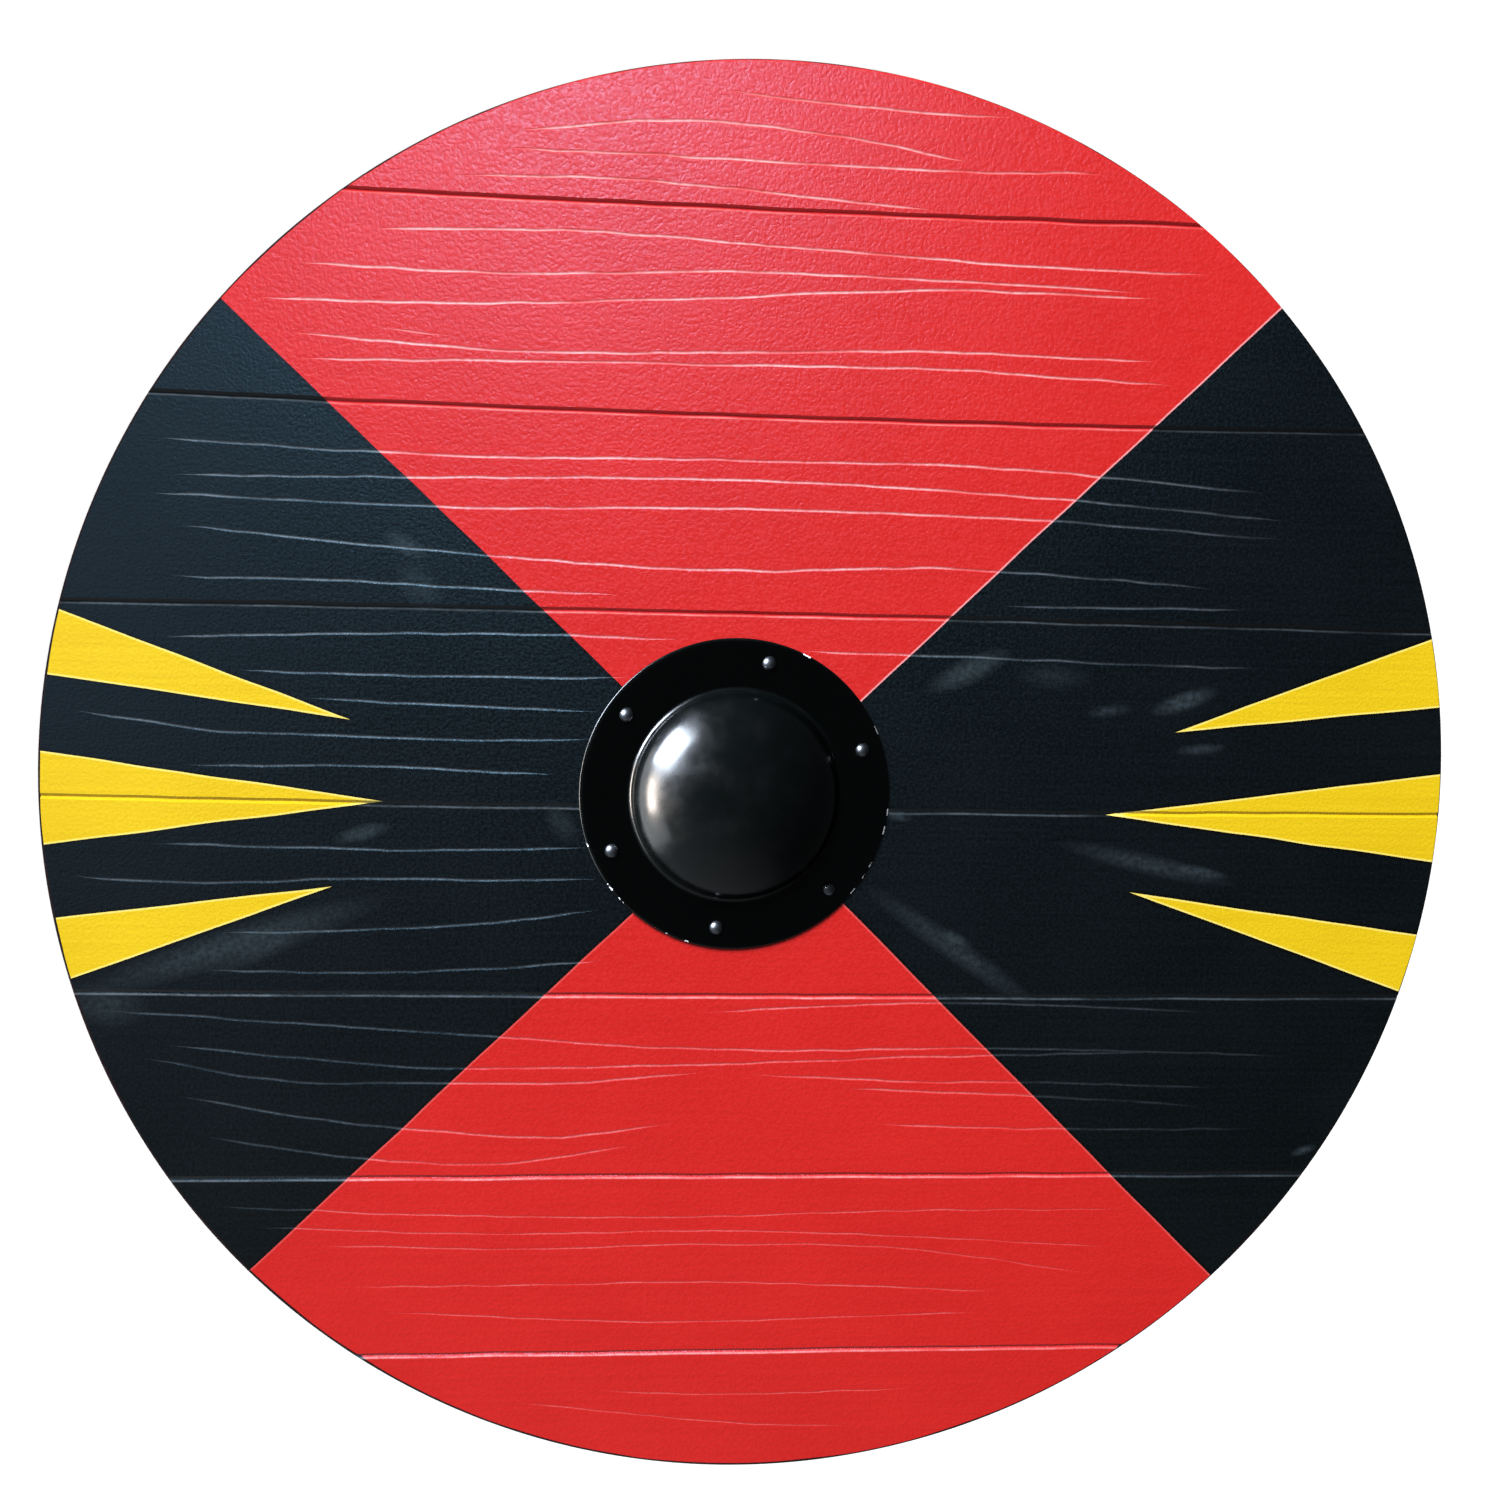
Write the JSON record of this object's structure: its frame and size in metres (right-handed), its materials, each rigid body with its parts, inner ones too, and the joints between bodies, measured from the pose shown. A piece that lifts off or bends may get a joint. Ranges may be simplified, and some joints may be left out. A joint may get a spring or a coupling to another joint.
{
  "type": "round shield",
  "caption": "Flat round wooden shield with grooved face boards, a domed steel hand boss riveted over its hand hole and a wooden bar grip let into the back",
  "frame": {"origin": "on the resting plane, under the middle of the board's back", "axes": "+Z out of the painted face, +X along the grooves to the right and +Y across them, up the face as it is held"},
  "size_m": [0.762, 0.762, 0.0473],
  "materials": {
    "painted_board": "satin paint in red, black and yellow on the face, varnished wood behind",
    "black_boss": "gloss black enamel",
    "bare_wood": "oiled ash",
    "rivet_steel": "dark steel, worn with black paint",
    "washer_steel": "zinc-plated"
  },
  "bodies": {
    "root": {"board": "painted_board", "boss": "black_boss", "grip": "bare_wood", "rivet_1": "rivet_steel", "rivet_2": "rivet_steel", "rivet_3": "rivet_steel", "rivet_4": "rivet_steel", "rivet_5": "rivet_steel", "rivet_6": "rivet_steel", "washer_1": "washer_steel", "washer_2": "washer_steel", "washer_3": "washer_steel", "washer_4": "washer_steel", "washer_5": "washer_steel", "washer_6": "washer_steel"}
  },
  "joints": []
}
